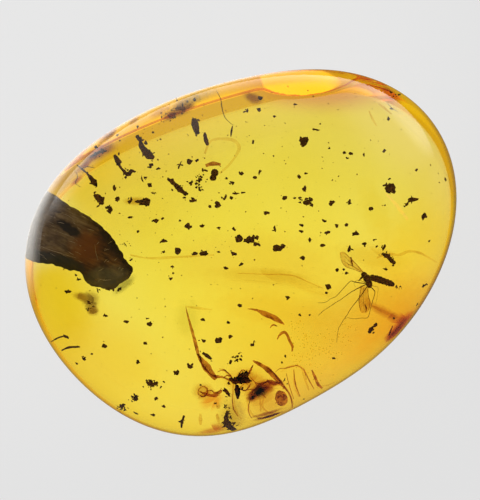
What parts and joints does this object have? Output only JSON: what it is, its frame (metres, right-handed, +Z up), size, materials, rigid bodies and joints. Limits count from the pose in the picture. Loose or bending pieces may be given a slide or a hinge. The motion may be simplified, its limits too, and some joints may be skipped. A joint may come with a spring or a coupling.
{
  "type": "insect in amber",
  "caption": "Polished egg-shaped piece of clear yellow amber with a small fly, bark and debris sealed in it, lying on a small flat underneath.",
  "frame": {"origin": "on the resting flat, below the middle of the stone's box", "axes": "+X along the stone's length towards its blunt end, +Y towards its thick shoulder, +Z up through its thickness"},
  "size_m": [0.04, 0.034, 0.012],
  "materials": {
    "amber": "clear golden yellow fossil resin, polished, seen right through, deep orange round the edge",
    "bark": "dark brown rotted bark with blackened patches and pale grain lines",
    "insect": "dark brown insect body and legs, slightly shiny",
    "insect_wing": "thin brown membrane with dark veins, half see-through",
    "debris": "matt brown and near-black plant crumbs and dust",
    "fracture": "thin brown-edged healed cracks and flow films, half see-through",
    "bubble": "tiny trapped air bubbles, bright ringed"
  },
  "bodies": {
    "root": {"amber_stone": "amber"}
  },
  "joints": []
}
